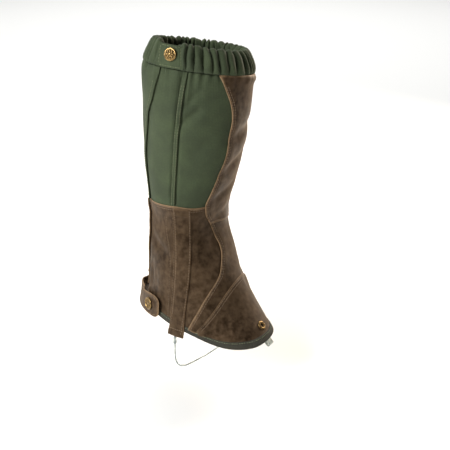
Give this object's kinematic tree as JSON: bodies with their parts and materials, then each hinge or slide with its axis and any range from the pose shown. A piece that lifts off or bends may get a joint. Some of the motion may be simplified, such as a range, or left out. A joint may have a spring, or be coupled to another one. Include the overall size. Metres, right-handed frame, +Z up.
{
  "type": "gaiter",
  "caption": "Right-foot gaiter of fabric and leather with a gathered cuff, a flap over a side zip, snap tabs, a lace hook and a wire under the sole.",
  "frame": {"origin": "on the leg's axis, level with the lowest edge of the hem", "axes": "+Z up the leg, -Y towards the toe, -X the outer side of the right leg"},
  "size_m": [0.1409, 0.2024, 0.4307],
  "materials": {
    "fabric": "dense waterproof polyester, matt",
    "leather": "waxed nubuck, low sheen",
    "binding": "woven tape",
    "elastic": "woven elastic",
    "brass": "antique brass",
    "steel": "plain steel",
    "tape": "woven zip tape",
    "resin": "moulded resin"
  },
  "bodies": {
    "sleeve": {"outer_side_front": "fabric", "outer_side_rear": "fabric", "inner_side": "fabric", "back_fabric": "fabric", "felled_seam": "fabric", "cuff_casing": "fabric", "flap_margin_fabric": "fabric", "cuff_underlap": "fabric", "shin_leather": "leather", "vamp_leather": "leather", "instep_leather": "leather", "outer_lower_leather": "leather", "inner_lower_leather": "leather", "heel_leather": "leather", "outer_wire_strip": "leather", "inner_wire_strip": "leather", "flap_margin_leather": "leather", "ankle_tab_margin": "leather", "hem_binding": "binding", "cuff_elastic": "elastic", "upper_snap_stud": "brass", "upper_snap_post": "brass", "lower_snap_stud": "brass", "lower_snap_post": "brass", "hook_eyelet": "brass", "hook_washer": "brass", "zip_box": "brass", "zip_pin": "brass", "zip_top_stop_front": "brass", "zip_top_stop_rear": "brass", "lace_hook": "steel", "zip_tape_front": "tape", "zip_tape_rear": "tape", "zip_teeth_front": "resin", "zip_teeth_rear": "resin"},
    "flap": {"flap_fabric": "fabric", "flap_leather": "leather", "flap_cuff_casing": "fabric", "flap_cuff_elastic": "elastic"},
    "cuff_snap_tab": {"cuff_tab": "fabric", "upper_snap_socket": "brass", "upper_snap_cap": "brass"},
    "ankle_snap_tab": {"ankle_tab": "leather", "lower_snap_socket": "brass", "lower_snap_cap": "brass"},
    "slider": {"zip_slider": "brass"},
    "pull": {"zip_pull": "brass"},
    "stirrup": {"stirrup_wire": "steel", "wire_ferrule_outer": "steel", "wire_ferrule_inner": "steel"}
  },
  "joints": [
    {"name": "flap_fold", "type": "hinge", "parent": "sleeve", "child": "flap", "pos_m": [-0.00782, 0.07208, 0.19568], "axis": [0.005, 0.0643, -0.9979], "range_deg": [0, 110]},
    {"name": "cuff_tab_fold", "type": "hinge", "parent": "flap", "child": "cuff_snap_tab", "pos_m": [-0.06729, 0.0005, 0.36443], "axis": [-0.2211, 0.0035, -0.9752], "range_deg": [0, 150]},
    {"name": "ankle_tab_fold", "type": "hinge", "parent": "sleeve", "child": "ankle_snap_tab", "pos_m": [-0.02305, 0.08344, 0.03382], "axis": [-0.0252, 0.131, -0.9911], "range_deg": [0, 120]},
    {"name": "zip_slide", "type": "slide", "parent": "sleeve", "child": "slider", "axis": [0.0419, 0.0394, -0.9983], "range_m": [0, 0.268]},
    {"name": "pull_swing", "type": "hinge", "parent": "slider", "child": "pull", "pos_m": [-0.03176, 0.04958, 0.326], "axis": [0.765, 0.6415, 0.0574], "range_deg": [0, 12]},
    {"name": "stirrup_swing", "type": "hinge", "parent": "sleeve", "child": "stirrup", "pos_m": [-0.06136, -0.01029, 0.0005], "axis": [1, 0, 0], "range_deg": [-60, 60]}
  ]
}
